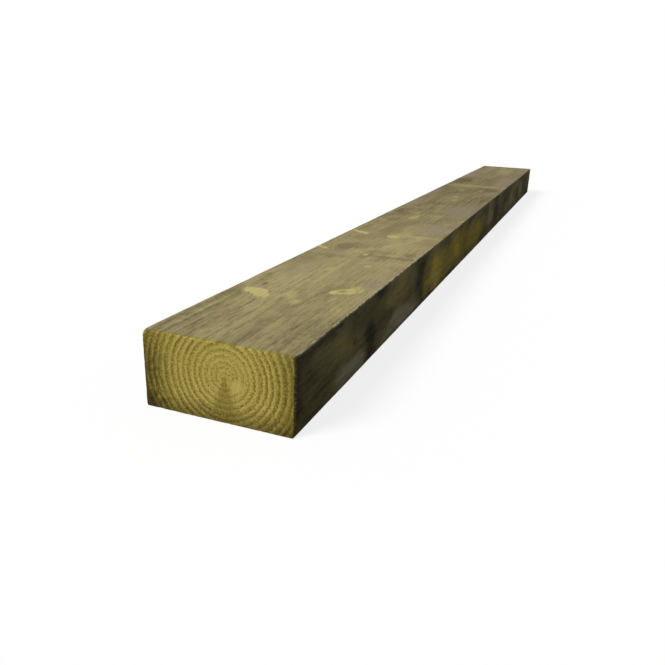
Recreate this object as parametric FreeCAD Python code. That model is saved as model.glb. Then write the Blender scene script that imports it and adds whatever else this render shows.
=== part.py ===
"""Railway sleeper: one length of sawn, pressure-treated softwood.

The sleeper is a single piece of timber of rectangular section, lying flat on
its broad underside. Its four long arrises are eased round, and the edges
about its two cross-cut ends are only lightly broken, as the saw and handling
leave them.

Frame, in millimetres: the origin is the centre of the underside, +X runs
along the length, +Y across the width and +Z up.
"""

import FreeCAD
import Part
import os

# Driving dimensions
sleeper_length = 2400.0
sleeper_width = 200.0
sleeper_height = 100.0
long_arris_radius = 2.0
end_arris_chamfer = 1.0

# How close an edge's box must be to a line or a plane to count as in it
edge_tolerance = 0.001


def long_edges(timber):
    """The edges that run the whole length of the timber."""
    return [edge for edge in timber.Edges if edge.BoundBox.XLength > sleeper_length - edge_tolerance]


def end_edges(timber):
    """The edges that lie in either cross-cut end."""
    found = []
    for edge in timber.Edges:
        box = edge.BoundBox
        across = box.XLength < edge_tolerance
        at_end = abs(abs(box.XMin) - sleeper_length / 2) < edge_tolerance
        if across and at_end:
            found.append(edge)
    return found


def make_sleeper():
    """The squared timber, its long arrises eased and then its end edges broken."""
    corner = FreeCAD.Vector(-sleeper_length / 2, -sleeper_width / 2, 0)
    timber = Part.makeBox(sleeper_length, sleeper_width, sleeper_height, corner)
    timber = timber.makeFillet(long_arris_radius, long_edges(timber))
    timber = timber.makeChamfer(end_arris_chamfer, end_edges(timber))
    return timber.Solids[0]


os.makedirs("parts", exist_ok=True)
sleeper = make_sleeper()
sleeper.exportStep("parts/sleeper.step")
print("sleeper valid:", sleeper.isValid(), " litres:", round(sleeper.Volume / 1e6, 3))
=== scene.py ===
import math
import bmesh
import bpy
from mathutils import Matrix, Vector, noise


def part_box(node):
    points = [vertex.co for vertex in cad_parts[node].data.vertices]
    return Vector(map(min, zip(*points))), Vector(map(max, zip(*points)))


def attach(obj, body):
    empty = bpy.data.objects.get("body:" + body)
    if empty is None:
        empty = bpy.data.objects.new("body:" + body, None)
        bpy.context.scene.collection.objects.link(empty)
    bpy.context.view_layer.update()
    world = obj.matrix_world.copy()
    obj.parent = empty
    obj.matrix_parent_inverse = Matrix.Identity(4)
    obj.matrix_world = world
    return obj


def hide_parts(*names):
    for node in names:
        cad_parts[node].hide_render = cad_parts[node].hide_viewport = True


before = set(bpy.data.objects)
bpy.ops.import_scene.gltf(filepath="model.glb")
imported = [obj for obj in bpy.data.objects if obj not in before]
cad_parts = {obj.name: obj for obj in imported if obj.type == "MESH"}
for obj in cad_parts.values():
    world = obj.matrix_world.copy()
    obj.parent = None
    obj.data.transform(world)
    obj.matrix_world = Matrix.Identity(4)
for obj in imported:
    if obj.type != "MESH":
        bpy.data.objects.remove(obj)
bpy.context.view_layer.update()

low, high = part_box("sleeper")
size = high - low
nearEnd = low.x  # the end that faces the camera
millimetre = 0.001


def colour(red, green, blue):
    # a colour picked on screen, 0 to 255, as the linear value that shaders want
    linear = []
    for part in (red, green, blue):
        share = part / 255
        linear.append(share / 12.92 if share <= 0.04045 else ((share + 0.055) / 1.055) ** 2.4)
    return (*linear, 1.0)


def smooth(value, start, end):
    # 0 at start, 1 at end, eased between
    share = min(max((value - start) / (end - start), 0.0), 1.0)
    return share * share * (3 - 2 * share)


def waver(x, y, z, seed):
    # soft noise from -1 to 1, another pattern for each seed
    return noise.noise(Vector((x + 17.3 * seed, y - 9.1 * seed, z + 4.7 * seed)))


cameraSet = {
    "fromNearEnd": (-0.587, -0.371, 0.366),  # metres from the middle of the near end's foot
    "yaw": 21.27,  # degrees, turned left from looking along the timber
    "pitch": 20.04,  # degrees, looking down
    "roll": 2.02,  # degrees
    "lens": 35.03,
}

lightSet = {
    "keyFrom": (-0.62, 0.42, 0.66),  # over the near end and a little from behind the timber
    "keyStrength": 3.35,
    "keySoftness": 24.0,  # degrees across
    "fill": 0.30,
    "floorTone": 0.26,  # how much of the light the floor sends back up
    "floorWhite": 0.82,  # how far the floor is lifted to white for the eye
}


def addCamera():
    yaw, pitch, roll = (math.radians(cameraSet[name]) for name in ("yaw", "pitch", "roll"))
    ahead = Vector((math.cos(yaw) * math.cos(pitch), math.sin(yaw) * math.cos(pitch), -math.sin(pitch)))
    right = ahead.cross(Vector((0, 0, 1))).normalized()
    up = right.cross(ahead)
    tiltedRight = right * math.cos(roll) + up * math.sin(roll)
    tiltedUp = up * math.cos(roll) - right * math.sin(roll)
    turn = Matrix((tiltedRight, tiltedUp, -ahead)).transposed()
    foot = Vector((nearEnd, (low.y + high.y) / 2, low.z))
    bpy.ops.object.camera_add(location=foot + Vector(cameraSet["fromNearEnd"]), rotation=turn.to_euler())
    camera = bpy.context.object
    camera.name = "camera"
    camera.data.lens = cameraSet["lens"]
    camera.data.sensor_width = 36
    camera.data.clip_start = 0.01
    bpy.context.scene.camera = camera


def addLights():
    toward = Vector(lightSet["keyFrom"]).normalized()
    bpy.ops.object.light_add(type="SUN", location=toward * 4)
    key = bpy.context.object
    key.name = "softKey"
    key.rotation_euler = toward.to_track_quat("Z", "Y").to_euler()
    key.data.energy = lightSet["keyStrength"]
    key.data.angle = math.radians(lightSet["keySoftness"])

    room = bpy.data.worlds.new("paleRoom")
    bpy.context.scene.world = room
    room.use_nodes = True
    tree = room.node_tree
    tree.nodes.clear()
    seen = tree.nodes.new("ShaderNodeLightPath")
    fill = tree.nodes.new("ShaderNodeBackground")
    fill.inputs["Color"].default_value = (1, 1, 1, 1)
    fill.inputs["Strength"].default_value = lightSet["fill"]
    white = tree.nodes.new("ShaderNodeBackground")
    white.inputs["Color"].default_value = (1, 1, 1, 1)
    white.inputs["Strength"].default_value = 1.0
    mix = tree.nodes.new("ShaderNodeMixShader")
    out = tree.nodes.new("ShaderNodeOutputWorld")
    tree.links.new(seen.outputs["Is Camera Ray"], mix.inputs["Fac"])
    tree.links.new(fill.outputs[0], mix.inputs[1])
    tree.links.new(white.outputs[0], mix.inputs[2])
    tree.links.new(mix.outputs[0], out.inputs["Surface"])


def addFloor():
    bpy.ops.mesh.primitive_plane_add(size=60, location=(0, 0, low.z - 0.2 * millimetre))
    floor = bpy.context.object
    floor.name = "floor"
    paint = bpy.data.materials.new("paleFloor")
    paint.use_nodes = True
    tree = paint.node_tree
    tree.nodes.clear()
    seen = tree.nodes.new("ShaderNodeLightPath")
    tone = tree.nodes.new("ShaderNodeBsdfDiffuse")
    tone.inputs["Color"].default_value = (lightSet["floorTone"],) * 3 + (1,)
    pale = tree.nodes.new("ShaderNodeBsdfDiffuse")
    pale.inputs["Color"].default_value = (0.98, 0.98, 0.98, 1)
    glow = tree.nodes.new("ShaderNodeEmission")
    glow.inputs["Strength"].default_value = 1.0
    lifted = tree.nodes.new("ShaderNodeMixShader")
    lifted.inputs["Fac"].default_value = lightSet["floorWhite"]
    mix = tree.nodes.new("ShaderNodeMixShader")
    out = tree.nodes.new("ShaderNodeOutputMaterial")
    tree.links.new(pale.outputs[0], lifted.inputs[1])
    tree.links.new(glow.outputs[0], lifted.inputs[2])
    tree.links.new(seen.outputs["Is Camera Ray"], mix.inputs["Fac"])
    tree.links.new(tone.outputs[0], mix.inputs[1])
    tree.links.new(lifted.outputs[0], mix.inputs[2])
    tree.links.new(mix.outputs[0], out.inputs["Surface"])
    floor.data.materials.append(paint)


# "along" is metres from the near end. "across" is metres from the face's upper or left edge as the
# camera has it: the back edge of the top, the top edge of the sides, the back edge of the underside.
timber = {
    "arrisRadius": 0.002,
    "endArris": 0.001,
    "columnWidth": 0.0020,  # mesh spacing round the section
    "rowLength": 0.0175,  # mesh spacing along the plain wood
    "nearRowLength": 0.0075,  # and in the near part, where the marks are small
    "nearPart": 0.62,
    "knotRowLength": 0.0055,  # and beside the knots
    "endRowLength": 0.003,  # and next to the ends
    "pith": (-0.011, 0.060),  # heart of the log at the near end, across and up
    "pithDrift": (0.007, 0.004),
    "ringWidth": 0.0083,
    "heartRings": 1.3,  # how many more rings the heart holds, because they are closer there
    "heartReach": 0.020,
    "ringWaver": 0.0011,
    "ringRelief": 0.00020,
    "endRelief": 0.00006,  # the rings on the cross-cut ends, sawn almost flat
    "sawnRelief": 0.00022,
    "rimDepth": 0.0004,  # the groove round a knot
    "arrisWear": 0.0003,
    "endTear": 0.0005,  # how deep the saw tore the end edges
    "chip": {"reach": 0.008, "depth": 0.0022},
}

# "lean" is how far the branch slopes along the timber. "tone" is pale above 0 and dark below.
# "core" is how golden its heart is.
knots = [
    {"face": "top", "along": 0.200, "across": 0.052, "radius": 0.0135, "lean": 0.60, "tone": 1.0},
    {"face": "top", "along": 0.259, "across": 0.155, "radius": 0.0128, "lean": 0.85, "tone": 0.9, "core": 1.0},
    {"face": "top", "along": 0.421, "across": 0.137, "radius": 0.0055, "lean": 0.5, "tone": 0.8},
    {"face": "top", "along": 0.501, "across": 0.107, "radius": 0.0065, "lean": 0.3, "tone": 0.8},
    {"face": "top", "along": 0.522, "across": 0.015, "radius": 0.0062, "lean": 0.7, "tone": 1.0},
    {"face": "top", "along": 0.680, "across": 0.104, "radius": 0.0140, "lean": 0.3, "tone": 0.9},
    {"face": "top", "along": 0.694, "across": 0.033, "radius": 0.0085, "lean": 0.6, "tone": 0.9},
    {"face": "top", "along": 1.340, "across": 0.094, "radius": 0.0085, "lean": 0.4, "tone": 0.7},
    {"face": "top", "along": 1.790, "across": 0.038, "radius": 0.0165, "lean": 0.8, "tone": -0.80},
    {"face": "side", "along": 0.195, "across": 0.048, "radius": 0.0050, "lean": 0.3, "tone": -0.7},
    {"face": "side", "along": 0.870, "across": 0.050, "radius": 0.0120, "lean": 0.4, "tone": 0.8, "core": 0.2},
    {"face": "side", "along": 1.545, "across": 0.050, "radius": 0.0080, "lean": 0.4, "tone": -0.5},
    {"face": "back", "along": 0.262, "across": 0.058, "radius": 0.0120, "lean": 0.5, "tone": 0.7, "core": 0.6},
    {"face": "back", "along": 0.715, "across": 0.034, "radius": 0.0090, "lean": 0.5, "tone": -0.6},
    {"face": "back", "along": 1.420, "across": 0.062, "radius": 0.0130, "lean": 0.4, "tone": 0.6, "core": 0.8},
    {"face": "back", "along": 2.120, "across": 0.045, "radius": 0.0080, "lean": 0.5, "tone": 0.6},
    {"face": "under", "along": 0.560, "across": 0.135, "radius": 0.0120, "lean": 0.4, "tone": 0.5, "core": 0.7},
    {"face": "under", "along": 1.080, "across": 0.070, "radius": 0.0100, "lean": 0.4, "tone": -0.6},
    {"face": "under", "along": 1.830, "across": 0.120, "radius": 0.0125, "lean": 0.5, "tone": 0.6, "core": 0.5},
]

# soft stains: where on the face, half its length and width, and how strong each tint is
stains = [
    # the top, from the near end on
    {"face": "top", "at": (0.020, 0.185), "reach": (0.15, 0.055), "dark": 0.42},
    {"face": "top", "at": (0.060, 0.030), "reach": (0.12, 0.045), "dark": 0.45},
    {"face": "top", "at": (0.180, 0.012), "reach": (0.05, 0.016), "dark": 0.55},
    {"face": "top", "at": (0.150, 0.100), "reach": (0.11, 0.022), "pale": 0.45},
    {"face": "top", "at": (0.168, 0.080), "reach": (0.03, 0.007), "gold": 0.35},
    {"face": "top", "at": (0.212, 0.095), "reach": (0.022, 0.008), "gold": 0.80},
    {"face": "top", "at": (0.276, 0.172), "reach": (0.019, 0.014), "gold": 1.00},
    {"face": "top", "at": (0.250, 0.145), "reach": (0.008, 0.007), "gold": 0.80},
    {"face": "top", "at": (0.500, 0.120), "reach": (0.400, 0.120), "pale": 0.40},
    {"face": "top", "at": (1.650, 0.100), "reach": (1.050, 0.500), "dark": 0.70},
    {"face": "top", "at": (0.190, 0.063), "reach": (0.013, 0.014), "gold": 1.00},
    {"face": "top", "at": (0.210, 0.031), "reach": (0.010, 0.014), "gold": 1.00},
    {"face": "top", "at": (0.188, 0.078), "reach": (0.012, 0.007), "gold": 0.60},
    {"face": "top", "at": (0.184, 0.117), "reach": (0.012, 0.009), "gold": 0.80},
    {"face": "top", "at": (0.330, 0.096), "reach": (0.140, 0.004), "gold": 0.45},
    {"face": "top", "at": (0.374, 0.090), "reach": (0.016, 0.008), "gold": 1.00},
    {"face": "top", "at": (0.215, 0.157), "reach": (0.020, 0.007), "gold": 0.65},
    {"face": "top", "at": (0.175, 0.180), "reach": (0.016, 0.007), "gold": 0.65},
    {"face": "top", "at": (0.245, 0.036), "reach": (0.012, 0.005), "dark": 0.75},
    {"face": "top", "at": (0.300, 0.016), "reach": (0.008, 0.003), "dark": 0.85},
    {"face": "top", "at": (0.268, 0.020), "reach": (0.05, 0.014), "dark": 0.40},
    {"face": "top", "at": (0.013, 0.018), "reach": (0.007, 0.003), "dark": 0.80},
    {"face": "top", "at": (0.031, 0.162), "reach": (0.006, 0.003), "dark": 0.95},
    {"face": "top", "at": (0.158, 0.108), "reach": (0.03, 0.010), "dark": 0.30},
    {"face": "top", "at": (0.338, 0.048), "reach": (0.035, 0.022), "grey": 0.45},
    {"face": "top", "at": (0.390, 0.110), "reach": (0.025, 0.012), "dark": 0.30},
    {"face": "top", "at": (0.320, 0.183), "reach": (0.040, 0.018), "grey": 0.80},
    {"face": "top", "at": (0.330, 0.140), "reach": (0.045, 0.010), "dark": 0.22},
    {"face": "top", "at": (0.455, 0.172), "reach": (0.026, 0.030), "pale": 0.70},
    {"face": "top", "at": (0.444, 0.060), "reach": (0.018, 0.050), "pale": 0.35},
    {"face": "top", "at": (0.466, 0.050), "reach": (0.014, 0.060), "dark": 0.60},
    {"face": "top", "at": (0.482, 0.105), "reach": (0.014, 0.012), "dark": 0.65},
    {"face": "top", "at": (0.475, 0.150), "reach": (0.020, 0.040), "dark": 0.45},
    {"face": "top", "at": (0.548, 0.054), "reach": (0.044, 0.042), "dark": 0.85},
    {"face": "top", "at": (0.497, 0.150), "reach": (0.015, 0.065), "dark": 0.85},
    {"face": "top", "at": (0.528, 0.120), "reach": (0.022, 0.040), "dark": 0.60},
    {"face": "top", "at": (0.532, 0.182), "reach": (0.020, 0.012), "dark": 0.80},
    {"face": "top", "at": (0.578, 0.120), "reach": (0.016, 0.006), "gold": 0.40},
    {"face": "top", "at": (0.620, 0.155), "reach": (0.055, 0.032), "pale": 0.45},
    {"face": "top", "at": (0.600, 0.070), "reach": (0.024, 0.060), "pale": 0.45},
    {"face": "top", "at": (0.705, 0.112), "reach": (0.030, 0.022), "gold": 0.45},
    {"face": "top", "at": (0.742, 0.030), "reach": (0.040, 0.020), "dark": 0.55},
    {"face": "top", "at": (0.700, 0.155), "reach": (0.008, 0.055), "pale": 0.90},
    {"face": "top", "at": (0.723, 0.160), "reach": (0.010, 0.050), "dark": 0.70},
    {"face": "top", "at": (0.805, 0.165), "reach": (0.065, 0.042), "grey": 1.00},
    {"face": "top", "at": (0.880, 0.038), "reach": (0.040, 0.018), "dark": 0.35},
    {"face": "top", "at": (0.930, 0.080), "reach": (0.035, 0.010), "gold": 0.65},
    {"face": "top", "at": (0.930, 0.080), "reach": (0.085, 0.030), "pale": 0.40},
    {"face": "top", "at": (1.000, 0.067), "reach": (0.018, 0.012), "gold": 0.45},
    {"face": "top", "at": (0.975, 0.108), "reach": (0.035, 0.009), "dark": 0.45},
    {"face": "top", "at": (0.940, 0.130), "reach": (0.026, 0.012), "pale": 0.55},
    {"face": "top", "at": (0.925, 0.168), "reach": (0.016, 0.022), "dark": 0.50},
    {"face": "top", "at": (0.920, 0.184), "reach": (0.010, 0.005), "dark": 0.90},
    {"face": "top", "at": (1.025, 0.020), "reach": (0.035, 0.007), "dark": 1.00},
    {"face": "top", "at": (0.970, 0.030), "reach": (0.060, 0.014), "dark": 0.35},
    {"face": "top", "at": (1.090, 0.165), "reach": (0.120, 0.040), "grey": 0.95},
    {"face": "top", "at": (0.880, 0.190), "reach": (0.050, 0.016), "grey": 0.60},
    {"face": "top", "at": (1.170, 0.015), "reach": (0.120, 0.018), "grey": 0.75},
    {"face": "top", "at": (1.060, 0.112), "reach": (0.080, 0.010), "dark": 0.30},
    {"face": "top", "at": (1.340, 0.094), "reach": (0.110, 0.030), "pale": 0.45},
    {"face": "top", "at": (1.275, 0.106), "reach": (0.018, 0.006), "gold": 0.35},
    {"face": "top", "at": (1.470, 0.180), "reach": (0.060, 0.024), "grey": 0.75},
    {"face": "top", "at": (1.420, 0.012), "reach": (0.110, 0.018), "grey": 0.80},
    {"face": "top", "at": (1.510, 0.080), "reach": (0.030, 0.012), "gold": 0.30},
    {"face": "top", "at": (1.520, 0.140), "reach": (0.030, 0.010), "gold": 0.25},
    {"face": "top", "at": (1.600, 0.070), "reach": (0.070, 0.050), "pale": 0.35},
    {"face": "top", "at": (1.780, 0.036), "reach": (0.095, 0.030), "dark": 1.30},
    {"face": "top", "at": (1.635, 0.110), "reach": (0.026, 0.115), "pale": 0.95},
    {"face": "top", "at": (1.530, 0.165), "reach": (0.050, 0.040), "dark": 0.95},
    {"face": "top", "at": (1.820, 0.170), "reach": (0.170, 0.030), "grey": 0.90},
    {"face": "top", "at": (1.980, 0.025), "reach": (0.100, 0.025), "grey": 0.80},
    {"face": "top", "at": (1.950, 0.095), "reach": (0.120, 0.022), "pale": 0.30},
    {"face": "top", "at": (2.180, 0.125), "reach": (0.110, 0.030), "gold": 0.30},
    {"face": "top", "at": (2.180, 0.125), "reach": (0.130, 0.035), "pale": 0.40},
    {"face": "top", "at": (2.240, 0.180), "reach": (0.150, 0.022), "grey": 0.70},
    {"face": "top", "at": (2.200, 0.040), "reach": (0.140, 0.040), "grey": 0.60},
    {"face": "top", "at": (2.330, 0.010), "reach": (0.035, 0.012), "dark": 0.90},
    # the darker long side
    {"face": "side", "at": (0.006, 0.050), "reach": (0.016, 0.080), "dark": 1.00},
    {"face": "side", "at": (0.060, 0.006), "reach": (0.16, 0.014), "dark": 0.80},
    {"face": "side", "at": (0.050, 0.060), "reach": (0.075, 0.060), "dark": 0.40},
    {"face": "side", "at": (0.175, 0.045), "reach": (0.020, 0.008), "gold": 0.30},
    {"face": "side", "at": (0.190, 0.082), "reach": (0.060, 0.016), "grey": 0.90},
    {"face": "side", "at": (0.262, 0.070), "reach": (0.026, 0.045), "dark": 0.90},
    {"face": "side", "at": (0.310, 0.004), "reach": (0.032, 0.012), "dark": 0.90},
    {"face": "side", "at": (0.400, 0.032), "reach": (0.090, 0.010), "gold": 0.18},
    {"face": "side", "at": (0.440, 0.082), "reach": (0.105, 0.020), "grey": 1.00},
    {"face": "side", "at": (0.340, 0.052), "reach": (0.090, 0.008), "dark": 0.20},
    {"face": "side", "at": (0.545, 0.030), "reach": (0.036, 0.036), "dark": 1.00},
    {"face": "side", "at": (0.560, 0.070), "reach": (0.022, 0.045), "dark": 0.70},
    {"face": "side", "at": (0.538, 0.086), "reach": (0.016, 0.012), "gold": 0.45},
    {"face": "side", "at": (0.700, 0.060), "reach": (0.120, 0.045), "gold": 0.75},
    {"face": "side", "at": (0.668, 0.070), "reach": (0.050, 0.036), "pale": 0.85},
    {"face": "side", "at": (0.430, 0.040), "reach": (0.080, 0.030), "pale": 0.25},
    {"face": "side", "at": (0.880, 0.052), "reach": (0.030, 0.020), "pale": 0.50},
    {"face": "side", "at": (0.668, 0.045), "reach": (0.060, 0.040), "gold": 1.00},
    {"face": "side", "at": (0.775, 0.012), "reach": (0.050, 0.020), "dark": 0.65},
    {"face": "side", "at": (0.745, 0.038), "reach": (0.012, 0.006), "dark": 0.60},
    {"face": "side", "at": (0.795, 0.096), "reach": (0.022, 0.012), "dark": 0.50},
    {"face": "side", "at": (0.860, 0.052), "reach": (0.060, 0.028), "gold": 0.85},
    {"face": "side", "at": (0.900, 0.050), "reach": (0.130, 0.050), "gold": 0.65},
    {"face": "side", "at": (1.080, 0.055), "reach": (0.170, 0.036), "gold": 0.65},
    {"face": "side", "at": (1.000, 0.004), "reach": (0.240, 0.014), "dark": 0.50},
    {"face": "side", "at": (1.270, 0.085), "reach": (0.050, 0.024), "dark": 0.50},
    {"face": "side", "at": (1.460, 0.045), "reach": (0.055, 0.050), "dark": 0.90},
    {"face": "side", "at": (1.345, 0.050), "reach": (0.060, 0.022), "grey": 0.55},
    {"face": "side", "at": (1.690, 0.030), "reach": (0.090, 0.030), "dark": 0.60},
    {"face": "side", "at": (1.820, 0.055), "reach": (0.060, 0.030), "grey": 0.45},
    {"face": "side", "at": (1.990, 0.050), "reach": (0.040, 0.040), "dark": 0.55},
    {"face": "side", "at": (2.100, 0.060), "reach": (0.060, 0.030), "grey": 0.45},
    {"face": "side", "at": (2.250, 0.050), "reach": (0.120, 0.050), "dark": 0.55},
    # the side and the underside that face away
    {"face": "back", "at": (0.100, 0.060), "reach": (0.160, 0.035), "dark": 0.40},
    {"face": "back", "at": (0.420, 0.030), "reach": (0.140, 0.030), "pale": 0.40},
    {"face": "back", "at": (0.760, 0.075), "reach": (0.160, 0.026), "grey": 0.75},
    {"face": "back", "at": (1.020, 0.045), "reach": (0.140, 0.030), "gold": 0.40},
    {"face": "back", "at": (1.300, 0.015), "reach": (0.200, 0.016), "dark": 0.55},
    {"face": "back", "at": (1.640, 0.060), "reach": (0.170, 0.035), "grey": 0.70},
    {"face": "back", "at": (1.960, 0.040), "reach": (0.090, 0.045), "dark": 0.50},
    {"face": "back", "at": (2.240, 0.060), "reach": (0.120, 0.030), "pale": 0.45},
    {"face": "under", "at": (0.180, 0.060), "reach": (0.150, 0.050), "dark": 0.50},
    {"face": "under", "at": (0.640, 0.150), "reach": (0.200, 0.035), "grey": 0.70},
    {"face": "under", "at": (0.900, 0.090), "reach": (0.180, 0.040), "gold": 0.35},
    {"face": "under", "at": (1.420, 0.120), "reach": (0.220, 0.050), "dark": 0.55},
    {"face": "under", "at": (1.980, 0.070), "reach": (0.200, 0.045), "grey": 0.60},
    {"face": "under", "at": (2.260, 0.150), "reach": (0.110, 0.035), "pale": 0.40},
]

tints = ("gold", "pale", "dark", "grey")
faces = ("top", "side", "back", "under")
stainsOf = {face: [stain for stain in stains if stain["face"] == face] for face in faces}


def faceOf(point):
    # the sawn face that a point of the surface belongs to, nearest first
    gaps = {
        "top": high.z - point.z,
        "side": point.y - low.y,
        "back": high.y - point.y,
        "under": point.z - low.z,
    }
    return min(gaps, key=gaps.get)


def acrossFace(face, point):
    return {
        "top": high.y - point.y,
        "side": high.z - point.z,
        "back": high.z - point.z,
        "under": high.y - point.y,
    }[face]


def onFace(face, along, across):
    # the point of the timber's surface at that place
    x = nearEnd + along
    return {
        "top": Vector((x, high.y - across, high.z)),
        "side": Vector((x, low.y, high.z - across)),
        "back": Vector((x, high.y, high.z - across)),
        "under": Vector((x, high.y - across, low.z)),
    }[face]


def pithAt(x):
    # the heart wanders a little from end to end, as the tree grew
    gone = x - nearEnd
    y = timber["pith"][0] + timber["pithDrift"][0] * (math.sin(2.1 * gone + 0.4) - math.sin(0.4))
    z = timber["pith"][1] + timber["pithDrift"][1] * (math.sin(2.9 * gone - 0.8) - math.sin(-0.8))
    return y, z


def growBranches():
    # each knot is a branch that leaves the pith and comes out where its list says
    branches = []
    for knot in knots:
        out = onFace(knot["face"], knot["along"], knot["across"])
        y, z = pithAt(out.x)
        sideways = math.hypot(out.y - y, out.z - z)
        root = Vector((out.x - knot["lean"] * sideways, y, z))
        limb = out - root
        branches.append({**knot, "root": root, "way": limb.normalized(), "reach": limb.length})
    return branches


def woodAt(point, branches):
    # how far the point is from the heart, and from the nearest branch as a share of its width
    x, y, z = point
    pithY, pithZ = pithAt(x)
    dy, dz = y - pithY, z - pithZ
    radius = math.hypot(dy, dz)
    angle = math.atan2(dz, dy)
    oval = 1 + 0.018 * math.sin(2 * angle + 0.7) + 0.012 * math.sin(3 * angle - 0.4)
    radius *= oval * (1 + 0.012 * (x - nearEnd))
    wander = waver(x * 3.2, y * 26, z * 26, 1) + 0.45 * waver(x * 11, y * 70, z * 70, 2)
    radius += timber["ringWaver"] * wander
    found = {"knotShare": 3.0, "knotTone": 0.0, "knotCore": 0.0}
    for branch in branches:
        off = point - branch["root"]
        if abs(off.x) > 0.4:
            continue
        gone = off.dot(branch["way"])
        if gone < 0:
            continue
        away = (off - branch["way"] * gone).length
        width = branch["radius"] * (0.35 + 0.65 * gone / branch["reach"])
        width *= 1 + 0.34 * waver(x * 55, y * 55, z * 55, 5)
        share = away / width
        if share > 5:
            continue
        radius -= 0.55 * branch["radius"] * math.exp(-(share / 1.9) ** 2)
        if share < found["knotShare"]:
            found.update({"knotShare": share, "knotTone": branch["tone"], "knotCore": branch.get("core", 0.0)})
    found["ringRadius"] = radius
    return found


def ringCount(radius):
    # how many rings lie inside this radius
    inHeart = 1 - math.exp(-radius / timber["heartReach"])
    return radius / timber["ringWidth"] + timber["heartRings"] * inHeart


def stainsAt(point, face):
    found = dict.fromkeys(tints, 0.0)
    along = point.x - nearEnd
    across = acrossFace(face, point)
    rough = waver(along * 18, point.y * 38, point.z * 38, 3)
    rough += 0.5 * waver(along * 55, point.y * 95, point.z * 95, 4)
    for stain in stainsOf[face]:
        u = (along - stain["at"][0]) / stain["reach"][0]
        if abs(u) > 2.0:
            continue
        v = (across - stain["at"][1]) / stain["reach"][1]
        away = math.hypot(u, v) + 0.50 * rough
        share = 1 - smooth(away, 0.25, 1.45)
        for tint in tints:
            found[tint] = max(found[tint], stain.get(tint, 0.0) * share)
    return found


def clearGrainAt(point, face):
    # how plainly the grain shows through the weathering: best beside the near end of the top
    along = point.x - nearEnd
    clear = {"top": 1 - 0.60 * smooth(along, 0.20, 0.46), "side": 0.6, "back": 1.0, "under": 0.9}[face]
    return min(1.0, max(0.1, clear + 0.25 * waver(along * 4, point.y * 16, point.z * 16, 12)))


def selectWhere(mesh, edgeTest):
    # selects the edges of the mesh in edit mode that pass the test
    shape = bmesh.from_edit_mesh(mesh)
    for vertex in shape.verts:
        vertex.select = False
    for edge in shape.edges:
        edge.select = edgeTest(edge.verts[0].co, edge.verts[1].co)
    shape.select_flush_mode()
    bmesh.update_edit_mesh(mesh)


def evenCuts(start, end, spacing):
    count = max(1, round((end - start) / spacing))
    return [start + (end - start) * step / count for step in range(count + 1)]


def rowPlaces():
    # cross rows of the mesh: close at the ends and beside the knots, wide in the plain wood
    places = []
    x = low.x + timber["endRowLength"]
    while x < high.x - timber["endRowLength"]:
        places.append(x)
        toEnd = min(x - low.x, high.x - x)
        toKnot = min(abs(x - nearEnd - knot["along"]) for knot in knots)
        plain = timber["nearRowLength"] if x - nearEnd < timber["nearPart"] else timber["rowLength"]
        step = timber["knotRowLength"] + (plain - timber["knotRowLength"]) * smooth(toKnot, 0.02, 0.06)
        step = min(step, timber["endRowLength"] + 0.4 * toEnd)
        x += step
    return places


def sawTimber():
    # a plain block, its long arrises eased, its end edges broken, then cut into a fine mesh
    bpy.ops.object.select_all(action="DESELECT")
    bpy.ops.mesh.primitive_cube_add(size=1, location=(low + high) / 2, scale=size)
    block = bpy.context.object
    block.name = "sleeper_timber"
    bpy.ops.object.transform_apply(location=True, rotation=False, scale=True)
    bpy.ops.object.mode_set(mode="EDIT")
    bpy.ops.mesh.select_mode(type="EDGE")
    selectWhere(block.data, lambda a, b: abs(a.x - b.x) > size.x / 2)
    bpy.ops.mesh.bevel(offset=timber["arrisRadius"], segments=4, affect="EDGES")
    atEnd = size.x / 2 - 0.1 * millimetre
    selectWhere(block.data, lambda a, b: min(abs(a.x), abs(b.x)) > atEnd and abs(a.x - b.x) < size.x / 2)
    bpy.ops.mesh.bevel(offset=timber["endArris"], segments=2, affect="EDGES")

    flat = timber["arrisRadius"]
    cuts = [((0, y, 0), (0, 1, 0)) for y in evenCuts(low.y + flat, high.y - flat, timber["columnWidth"])]
    cuts += [((0, 0, z), (0, 0, 1)) for z in evenCuts(low.z + flat, high.z - flat, timber["columnWidth"])]
    cuts += [((x, 0, 0), (1, 0, 0)) for x in rowPlaces()]
    for place, across in cuts:
        bpy.ops.mesh.select_all(action="SELECT")
        bpy.ops.mesh.bisect(plane_co=place, plane_no=across, threshold=0.00002)
    bpy.ops.mesh.select_all(action="SELECT")
    bpy.ops.mesh.normals_make_consistent(inside=False)
    bpy.ops.object.mode_set(mode="OBJECT")
    print("timber: block of", len(block.data.polygons), "faces from", len(cuts), "cuts")
    return block


def wearAndHighlightAt(point):
    # how far an arris is rubbed down at this place, in metres, and how pale it looks: wear on every arris, and
    # on the top front arris also a painted highlight
    toY = min(point.y - low.y, high.y - point.y)
    toZ = min(point.z - low.z, high.z - point.z)
    toX = min(point.x - low.x, high.x - point.x)
    long = 1 - smooth(math.hypot(toY, toZ), 0.0005, 0.0065)
    cross = 1 - smooth(math.hypot(toX, min(toY, toZ)), 0.0, 0.0045)
    ragged = 0.5 + 0.5 * waver(point.x * 24, point.y * 40, point.z * 40, 6)
    ragged += 0.45 * waver(point.x * 95, point.y * 60, point.z * 60, 7)
    torn = max(0.0, waver(point.x * 260, point.y * 230, point.z * 230, 8))
    depth = timber["arrisWear"] * max(0.0, ragged) * long + timber["endTear"] * torn * cross
    rubbedAndHighlit = 1 - smooth(math.hypot(toY, toZ), 0.0010, 0.0034)
    topFront = point.y < 0 and point.z > (low.z + high.z) / 2  # the top front arris, palest: wear and a painted highlight that fades away from the near end
    shows = 0.95 - 0.60 * smooth(point.x - nearEnd, 0.45, 1.10) if topFront else 0.10 + 0.35 * ragged
    return depth, min(max(rubbedAndHighlit * shows, 0.0), 1.0)


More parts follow.
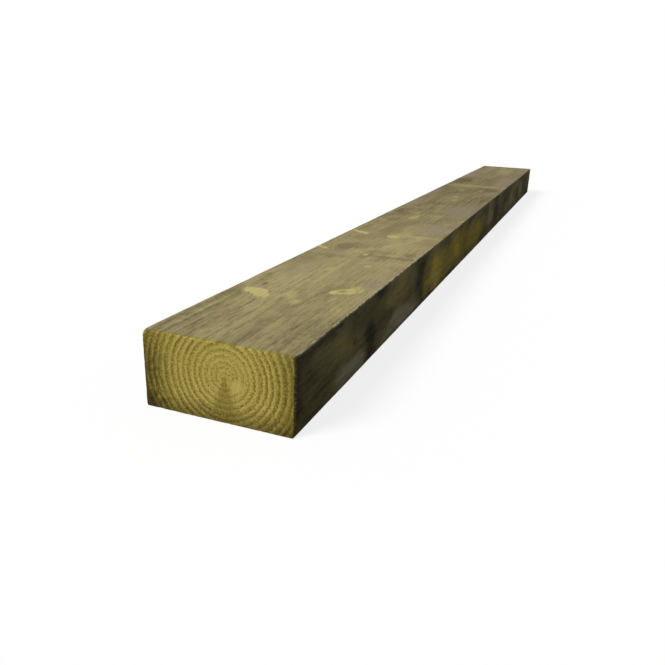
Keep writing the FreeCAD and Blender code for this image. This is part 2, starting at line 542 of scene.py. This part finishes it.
def chipAt(point):
    # bits broken off two corners of the top's back edge
    depth = 0.0
    chip = timber["chip"]
    for x, share in ((low.x, 1.0), (high.x, 0.7)):
        away = (point - Vector((x, high.y, high.z))).length
        away *= 1 + 0.25 * waver(point.x * 180, point.y * 180, point.z * 180, 9)
        depth = max(depth, share * chip["depth"] * (1 - smooth(away, 0.0, chip["reach"] * share)))
    return depth


def carve(block, branches):
    # presses the relief into the surface and notes the wood's tones on the vertices
    mesh = block.data
    fields = ("ringRadius", "rings", "knotShare", "knotTone", "knotCore", "wornAndHighlight", "chipped", "clearGrain")
    notes = {name: [] for name in fields + tints}
    inward = []
    relief = timber["ringRelief"]
    for vertex in mesh.vertices:
        point = vertex.co.copy()
        face = faceOf(point)
        wood = woodAt(point, branches)
        stain = stainsAt(point, face)
        wear, wornAndHighlight = wearAndHighlightAt(point)
        chipped = chipAt(point)
        wood["rings"] = ringCount(wood["ringRadius"])
        late = 0.5 - 0.5 * math.cos(2 * math.pi * wood["rings"])
        x, y, z = point
        knot = 1 - smooth(wood["knotShare"], 0.86, 1.12)
        rim = math.exp(-((wood["knotShare"] - 1.12) / 0.16) ** 2) * (1 - knot)
        onEnds = abs(vertex.normal.x) > 0.7
        depth = (timber["endRelief"] if onEnds else relief) * (1 - late) * (1 - knot)
        depth += timber["sawnRelief"] * (0.5 + 0.5 * waver(x * 30, y * 240, z * 240, 10))
        depth += timber["sawnRelief"] * 0.8 * (0.5 + 0.5 * waver(x * 5, y * 22, z * 22, 11))
        depth += timber["rimDepth"] * rim
        depth *= 1 - 0.6 * knot
        inward.append(vertex.normal * -(depth + wear + chipped))
        for name in wood:
            notes[name].append(wood[name])
        for name in tints:
            notes[name].append(stain[name])
        notes["clearGrain"].append(clearGrainAt(point, face))
        notes["wornAndHighlight"].append(wornAndHighlight)
        notes["chipped"].append(min(1.0, chipped / (0.3 * millimetre)))
    for vertex, move in zip(mesh.vertices, inward):
        vertex.co += move
    for name, values in notes.items():
        layer = mesh.attributes.new(name, "FLOAT", "POINT")
        layer.data.foreach_set("value", values)
    mesh.update()
    print("timber: carved", len(inward), "points,", len(branches), "branches")


woodTones = {
    "topLight": colour(174, 161, 115),
    "topMid": colour(160, 147, 104),
    "topDull": colour(141, 129, 91),
    "topDark": colour(116, 104, 70),
    "topGrain": (0.56, 0.54, 0.50, 1.0),  # the share of light that the grain lines send back
    "backGrain": (0.40, 0.37, 0.32, 1.0),
    # the shade tones darken the long side away from the light and most of the underside: partly stain, partly
    # painted shade
    "shadeGrain": (0.40, 0.38, 0.34, 1.0),
    "shade": colour(134, 124, 78),  # the long side away from the light: partly stain, partly painted shade
    "shadeDark": colour(60, 54, 34),
    "shadeGrey": colour(168, 160, 132),
    "shadePale": colour(216, 194, 102),
    "shadeGold": colour(172, 151, 30),
    "shadeStain": colour(50, 44, 27),
    "backTone": colour(134, 121, 82),
    "gold": colour(194, 181, 118),
    "goldCore": colour(146, 130, 56),
    "grey": colour(145, 132, 112),
    "stainDark": colour(98, 88, 58),
    "endCrest": colour(184, 168, 92),
    "endLight": colour(171, 154, 76),
    "endMid": colour(148, 132, 52),
    "endDark": colour(98, 81, 16),
    "endShade": (0.27, 0.25, 0.13, 1.0),  # a share of the light, for the stained margins
    # the pale of rubbed arrises, also the painted highlight on the top front arris
    "wornAndHighlight": colour(190, 180, 148),
    "chipped": colour(100, 93, 62),
}


surfaceSet = {
    "roughness": 0.76,
    "specular": 0.18,
    "bump": 0.9,
    "bumpDepth": 0.0007,
}


class Finish:
    # a material's nodes, written as sums: every call makes a node and gives its output
    def __init__(self, name):
        self.material = bpy.data.materials.new(name)
        self.material.use_nodes = True
        self.tree = self.material.node_tree
        self.tree.nodes.clear()

    def node(self, kind, values, **settings):
        made = self.tree.nodes.new(kind)
        for name, value in settings.items():
            setattr(made, name, value)
        for name, value in values.items():
            if isinstance(value, bpy.types.NodeSocket):
                self.tree.links.new(value, made.inputs[name])
            else:
                made.inputs[name].default_value = value
        return made

    def sum(self, operation, first, second=0.0, third=0.0):
        made = self.node("ShaderNodeMath", {0: first, 1: second, 2: third}, operation=operation)
        return made.outputs[0]

    def spread(self, value, start, end, toStart=0.0, toEnd=1.0, eased=True):
        values = {"Value": value, "From Min": start, "From Max": end, "To Min": toStart, "To Max": toEnd}
        kind = "SMOOTHSTEP" if eased else "LINEAR"
        return self.node("ShaderNodeMapRange", values, interpolation_type=kind).outputs[0]

    def mix(self, share, first, second, blend="MIX"):
        values = {0: share, 6: first, 7: second}  # 6 and 7 are its two colours
        made = self.node("ShaderNodeMix", values, data_type="RGBA", blend_type=blend)
        return made.outputs[2]

    def attribute(self, name):
        return self.node("ShaderNodeAttribute", {}, attribute_name=name).outputs["Fac"]

    def stretched(self, place, x, y, z):
        return self.node("ShaderNodeMapping", {"Vector": place, "Scale": (x, y, z)}).outputs[0]

    def lineNoise(self, value):
        values = {"W": value, "Scale": 1.0, "Detail": 1.0}
        return self.node("ShaderNodeTexNoise", values, noise_dimensions="1D").outputs[0]

    def grainNoise(self, place, scales, detail=2.0, roughness=0.5, bend=0.0):
        values = {"Vector": self.stretched(place, *scales), "Scale": 1.0, "Detail": detail}
        values.update({"Roughness": roughness, "Distortion": bend})
        return self.node("ShaderNodeTexNoise", values).outputs["Fac"]


def onEnd(across, up):
    # a place on the near end, from the heart of the log
    return nearEnd, timber["pith"][0] + across, timber["pith"][1] + up


def treatedWood():
    paint = Finish("treatedTimber")
    place = paint.node("ShaderNodeTexCoord", {}).outputs["Object"]
    axes = paint.node("ShaderNodeSeparateXYZ", {0: place}).outputs
    normal = paint.node("ShaderNodeNewGeometry", {}).outputs["Normal"]
    facing = paint.node("ShaderNodeSeparateXYZ", {0: normal}).outputs

    # how much of each place is cross-cut end, with a ragged border
    ragged = paint.grainNoise(place, (460, 460, 460), 2.0)
    toEnd = paint.sum("SUBTRACT", size.x / 2, paint.sum("ABSOLUTE", axes[0]))
    border = paint.sum("SUBTRACT", toEnd, paint.spread(ragged, 0.36, 0.66, 0.0, 0.0070))
    fromHeart = paint.sum("ABSOLUTE", paint.sum("SUBTRACT", axes[1], 0.004))
    aboveHeart = paint.spread(fromHeart, 0.006, 0.036, 0.0026, 0.0)
    border = paint.sum("SUBTRACT", border, aboveHeart)
    endCut = paint.spread(border, 0.0009, 0.0022, 1.0, 0.0)

    # growth rings: a pale crest, plain early wood, then a darkening to the line of late wood
    ringWander = paint.grainNoise(place, (14, 210, 210), 3.0, 0.6)
    jitter = paint.grainNoise(place, (90, 520, 520), 3.0, 0.65)
    rings = paint.sum("MULTIPLY_ADD", ringWander, 0.45, paint.attribute("rings"))
    rings = paint.sum("MULTIPLY_ADD", jitter, 0.42, rings)
    uneven = paint.lineNoise(paint.sum("MULTIPLY", rings, 0.45))
    phase = paint.sum("MULTIPLY_ADD", uneven, 0.8, rings)
    ring = paint.sum("FRACT", phase)
    ringNumber = paint.sum("FLOOR", phase)
    chance = paint.node("ShaderNodeTexWhiteNoise", {"W": ringNumber}, noise_dimensions="1D").outputs[0]
    strength = paint.spread(chance, 0.0, 1.0, 0.55, 1.0, False)
    late = paint.sum("MULTIPLY", paint.spread(ring, 0.30, 0.80), paint.spread(ring, 0.92, 1.0, 1.0, 0.0))
    late = paint.sum("MULTIPLY", late, strength)
    crest = paint.sum("MULTIPLY", paint.spread(ring, 0.0, 0.12), paint.spread(ring, 0.16, 0.50, 1.0, 0.0))

    # fibres, short sawn fuzz and cloudy stain
    fibre = paint.grainNoise(place, (34, 560, 560), 3.0, 0.6)
    streak = paint.grainNoise(place, (22, 250, 250), 3.0, 0.6)
    longStreak = paint.grainNoise(place, (3.5, 130, 130), 4.0, 0.62)
    fuzz = paint.grainNoise(place, (300, 480, 480), 3.0, 0.75)
    cloud = paint.grainNoise(place, (7, 19, 19), 3.0, 0.55, 0.6)
    haze = paint.grainNoise(place, (4, 9, 9), 2.0, 0.5, 0.4)
    mottle = paint.grainNoise(place, (60, 130, 130), 3.0, 0.6)

    # the sawn faces
    tone = woodTones
    # the long side away from the light, and most of the underside, take the darker shade tones: partly stain,
    # partly painted shade
    sideStainAndShade = paint.spread(facing[1], -0.80, -0.45, 1.0, 0.0)
    underStainAndShade = paint.spread(facing[2], -0.80, -0.45, 1.0, 0.0)
    backStain = paint.spread(facing[1], 0.35, 0.75)
    shade = paint.sum("MAXIMUM", sideStainAndShade, paint.sum("MULTIPLY", underStainAndShade, 0.85))
    sawn = paint.mix(paint.spread(cloud, 0.30, 0.55), tone["topDull"], tone["topMid"])
    sawn = paint.mix(paint.spread(haze, 0.42, 0.62, 0.0, 0.75), sawn, tone["topLight"])
    sawn = paint.mix(paint.sum("MULTIPLY", backStain, 0.8), sawn, tone["backTone"])
    shadeTone = paint.mix(paint.spread(cloud, 0.34, 0.66, 0.0, 0.65), tone["shade"], tone["shadeDark"])
    sawn = paint.mix(shade, sawn, shadeTone)
    fuzzTone = paint.mix(shade, tone["topLight"], tone["shade"])
    sawn = paint.mix(paint.spread(fuzz, 0.30, 0.46, 0.60, 0.0), sawn, fuzzTone)

    # the listed stains, each broken up by the mottle and drawn out along the grain
    broken = paint.spread(mottle, 0.28, 0.72, -0.20, 0.20, False)
    broken = paint.sum("ADD", broken, paint.spread(longStreak, 0.32, 0.68, -0.24, 0.24, False))

    def mask(name, most):
        held = paint.attribute(name)
        lively = paint.sum("MULTIPLY_ADD", broken, paint.spread(held, 0.0, 0.4), held)
        return paint.spread(lively, 0.02, 1.0, 0.0, most, False)

    sawn = paint.mix(mask("dark", 0.90), sawn, paint.mix(shade, tone["stainDark"], tone["shadeStain"]))
    sawn = paint.mix(mask("grey", 0.88), sawn, paint.mix(shade, tone["grey"], tone["shadeGrey"]))
    sawn = paint.mix(mask("gold", 0.95), sawn, paint.mix(shade, tone["gold"], tone["shadeGold"]))
    sawn = paint.mix(mask("pale", 0.62), sawn, paint.mix(shade, tone["topLight"], tone["shadePale"]))

    # the grain darkens whatever is under it
    grain = paint.mix(backStain, tone["topGrain"], tone["backGrain"])
    grain = paint.mix(shade, grain, tone["shadeGrain"])
    clear = paint.attribute("clearGrain")
    ringShare = paint.sum("MULTIPLY", late, paint.spread(mottle, 0.36, 0.62, 0.14, 0.62))
    sawn = paint.mix(paint.sum("MULTIPLY", ringShare, clear), sawn, grain, "MULTIPLY")
    streakShare = paint.sum("MULTIPLY", paint.spread(streak, 0.46, 0.70, 0.0, 0.62), clear)
    sawn = paint.mix(streakShare, sawn, grain, "MULTIPLY")
    longShare = paint.sum("MULTIPLY", paint.spread(longStreak, 0.50, 0.72, 0.0, 0.65), clear)
    longShare = paint.sum("MULTIPLY", longShare, paint.spread(mottle, 0.38, 0.60, 0.35, 1.0))
    sawn = paint.mix(longShare, sawn, grain, "MULTIPLY")
    sawn = paint.mix(paint.spread(fibre, 0.50, 0.82, 0.0, 0.55), sawn, grain, "MULTIPLY")
    sawn = paint.mix(paint.spread(fuzz, 0.52, 0.70, 0.0, 0.60), sawn, grain, "MULTIPLY")

    # knots: pale or dark branch wood with its own close rings, in a darker rim that is partly painted shade of
    # the groove round the knot
    knotTone = paint.attribute("knotTone")
    swell = paint.sum("SUBTRACT", mottle, 0.5)
    knotShare = paint.sum("MULTIPLY_ADD", swell, 0.80, paint.attribute("knotShare"))
    knot = paint.spread(knotShare, 0.84, 1.06, 1.0, 0.0)
    darkKnotHere = paint.spread(knotTone, -0.1, 0.1, 1.0, 0.0)
    branchPhase = paint.sum("MULTIPLY_ADD", ringWander, 1.6, paint.sum("MULTIPLY", knotShare, 4.5))
    branchWave = paint.sum("SINE", paint.sum("MULTIPLY", branchPhase, 2 * math.pi))
    branchRing = paint.spread(branchWave, -0.2, 1.0, 0.0, 0.16)
    paleKnot = paint.mix(branchRing, paint.mix(shade, tone["gold"], tone["shadeGold"]), tone["goldCore"])
    darkKnot = paint.mix(branchRing, tone["stainDark"], tone["topDark"])
    darkKnot = paint.mix(shade, darkKnot, tone["shadeStain"])
    knotWood = paint.mix(darkKnotHere, paleKnot, darkKnot)
    coreReach = paint.spread(knotShare, 0.15, 0.50, 0.85, 0.0)
    coreShare = paint.sum("MULTIPLY", paint.attribute("knotCore"), coreReach)
    knotWood = paint.mix(coreShare, knotWood, tone["goldCore"])
    knotStreak = paint.spread(streak, 0.35, 0.60, 1.0, 0.62)
    knotCover = paint.sum("MULTIPLY", paint.sum("ABSOLUTE", knotTone), knotStreak)
    sawn = paint.mix(paint.sum("MULTIPLY", knot, knotCover), sawn, knotWood)
    # the darker rim round each knot: partly the knot's own dark edge, partly painted shade of the groove round
    # it
    rim = paint.spread(paint.sum("ABSOLUTE", paint.sum("SUBTRACT", knotShare, 1.08)), 0.02, 0.24, 1.0, 0.0)
    rim = paint.sum("MULTIPLY", rim, paint.spread(darkKnotHere, 0.0, 1.0, 0.12, 0.42))
    sawn = paint.mix(rim, sawn, grain, "MULTIPLY")

    # rubbed arrises, with a painted highlight along the top front arris
    wornAndHighlightShare = paint.sum("MULTIPLY", paint.attribute("wornAndHighlight"), paint.spread(mottle, 0.42, 0.58, 0.12, 1.0))
    sawn = paint.mix(wornAndHighlightShare, sawn, paint.mix(underStainAndShade, tone["wornAndHighlight"], tone["shadePale"]))
    sawn = paint.mix(paint.attribute("chipped"), sawn, tone["chipped"])

    # the cross-cut ends: bright heart, darker and stained towards the back and the foot
    ringOut = paint.attribute("ringRadius")
    end = paint.mix(paint.spread(ringOut, 0.040, 0.100), tone["endLight"], tone["endMid"])
    end = paint.mix(paint.spread(cloud, 0.40, 0.70, 0.0, 0.45), end, tone["endMid"])
    sector = paint.grainNoise(place, (30, 34, 34), 2.0, 0.5)
    speck = paint.grainNoise(place, (420, 420, 420), 3.0, 0.7)
    outward = paint.spread(ringOut, 0.010, 0.060, 0.50, 1.0)
    contrast = paint.sum("MULTIPLY", outward, paint.spread(sector, 0.35, 0.6, 0.65, 1.0))
    contrast = paint.sum("MULTIPLY", contrast, paint.spread(speck, 0.30, 0.62, 0.55, 1.15))
    end = paint.mix(paint.sum("MULTIPLY", paint.sum("MULTIPLY", crest, 0.70), contrast), end, tone["endCrest"])
    end = paint.mix(paint.sum("MULTIPLY", paint.sum("MULTIPLY", late, 0.90), contrast), end, tone["endDark"])
    end = paint.mix(paint.spread(speck, 0.51, 0.70, 0.0, 0.90), end, tone["endDark"])
    end = paint.mix(paint.spread(speck, 0.30, 0.46, 0.95, 0.0), end, tone["endCrest"])
    backEdge = paint.spread(paint.sum("MULTIPLY_ADD", mottle, 0.050, axes[1]), 0.078, 0.130)
    backEdge = paint.sum("MULTIPLY", backEdge, paint.spread(axes[2], 0.055, 0.098, 1.0, 0.50))
    end = paint.mix(backEdge, end, tone["endShade"], "MULTIPLY")
    frontEdge = paint.spread(paint.sum("MULTIPLY_ADD", mottle, -0.040, axes[1]), -0.124, -0.086, 0.52, 0.0)
    end = paint.mix(frontEdge, end, tone["endShade"], "MULTIPLY")
    footEdge = paint.spread(paint.sum("MULTIPLY_ADD", mottle, -0.030, axes[2]), -0.014, 0.016, 0.72, 0.0)
    end = paint.mix(footEdge, end, tone["endShade"], "MULTIPLY")

    # below the heart of the near end a darker wedge, beside it a pale spot
    nearOnly = paint.spread(axes[0], -0.2, 0.2, 1.0, 0.0)
    down = paint.sum("SUBTRACT", timber["pith"][1], axes[2])
    beside = paint.sum("SUBTRACT", timber["pith"][0], axes[1])
    wedgeHalf = paint.sum("MAXIMUM", paint.sum("MULTIPLY", down, 0.42), 0.0025)
    wedge = paint.spread(paint.sum("DIVIDE", paint.sum("ABSOLUTE", beside), wedgeHalf), 0.5, 1.3, 1.0, 0.0)
    wedge = paint.sum("MULTIPLY", wedge, paint.spread(down, -0.003, 0.004))
    wedge = paint.sum("MULTIPLY", wedge, paint.spread(down, 0.030, 0.058, 1.0, 0.35))
    lean = paint.sum("MULTIPLY_ADD", down, -0.22, beside)
    seam = paint.spread(paint.sum("ABSOLUTE", lean), 0.0008, 0.0040, 1.0, 0.0)
    seamStart = paint.spread(down, 0.014, 0.024)
    seamEnd = paint.spread(down, 0.034, 0.048, 1.0, 0.0)
    seam = paint.sum("MULTIPLY", seam, paint.sum("MULTIPLY", seamStart, seamEnd))
    shadow = paint.sum("MULTIPLY", paint.sum("MAXIMUM", wedge, seam), nearOnly)
    end = paint.mix(paint.sum("MULTIPLY", shadow, 0.48), end, tone["endDark"])
    toSpot = paint.node("ShaderNodeVectorMath", {0: place, 1: onEnd(-0.0165, -0.010)}, operation="DISTANCE")
    spot = paint.sum("MULTIPLY", paint.spread(toSpot.outputs["Value"], 0.003, 0.012, 0.65, 0.0), nearOnly)
    end = paint.mix(spot, end, tone["endCrest"])

    base = paint.mix(endCut, sawn, end)
    rough = paint.sum("MULTIPLY_ADD", fuzz, 0.16, surfaceSet["roughness"])
    rough = paint.sum("MULTIPLY_ADD", late, -0.05, rough)

    height = paint.sum("MULTIPLY_ADD", late, 0.10, paint.sum("MULTIPLY", fuzz, 0.60))
    height = paint.sum("MULTIPLY_ADD", fibre, -0.45, height)
    height = paint.sum("MULTIPLY_ADD", paint.sum("MULTIPLY", speck, endCut), 0.6, height)
    bumpValues = {"Height": height, "Strength": surfaceSet["bump"], "Distance": surfaceSet["bumpDepth"]}
    bump = paint.node("ShaderNodeBump", bumpValues).outputs[0]

    shader = paint.node("ShaderNodeBsdfPrincipled", {"Base Color": base, "Roughness": rough, "Normal": bump})
    shader.inputs["Specular IOR Level"].default_value = surfaceSet["specular"]
    paint.node("ShaderNodeOutputMaterial", {"Surface": shader.outputs[0]})
    return paint.material


addCamera()
addLights()
addFloor()
print("stage: camera, lights and floor in place")

block = sawTimber()
carve(block, growBranches())
block.data.materials.append(treatedWood())
bpy.ops.object.select_all(action="DESELECT")
block.select_set(True)
bpy.context.view_layer.objects.active = block
bpy.ops.object.shade_smooth_by_angle(angle=math.radians(50))
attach(block, "root")
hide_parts("sleeper")
print("timber: finished,", sum(len(face.vertices) - 2 for face in block.data.polygons), "triangles")

bpy.context.scene.view_settings.view_transform = "Standard"
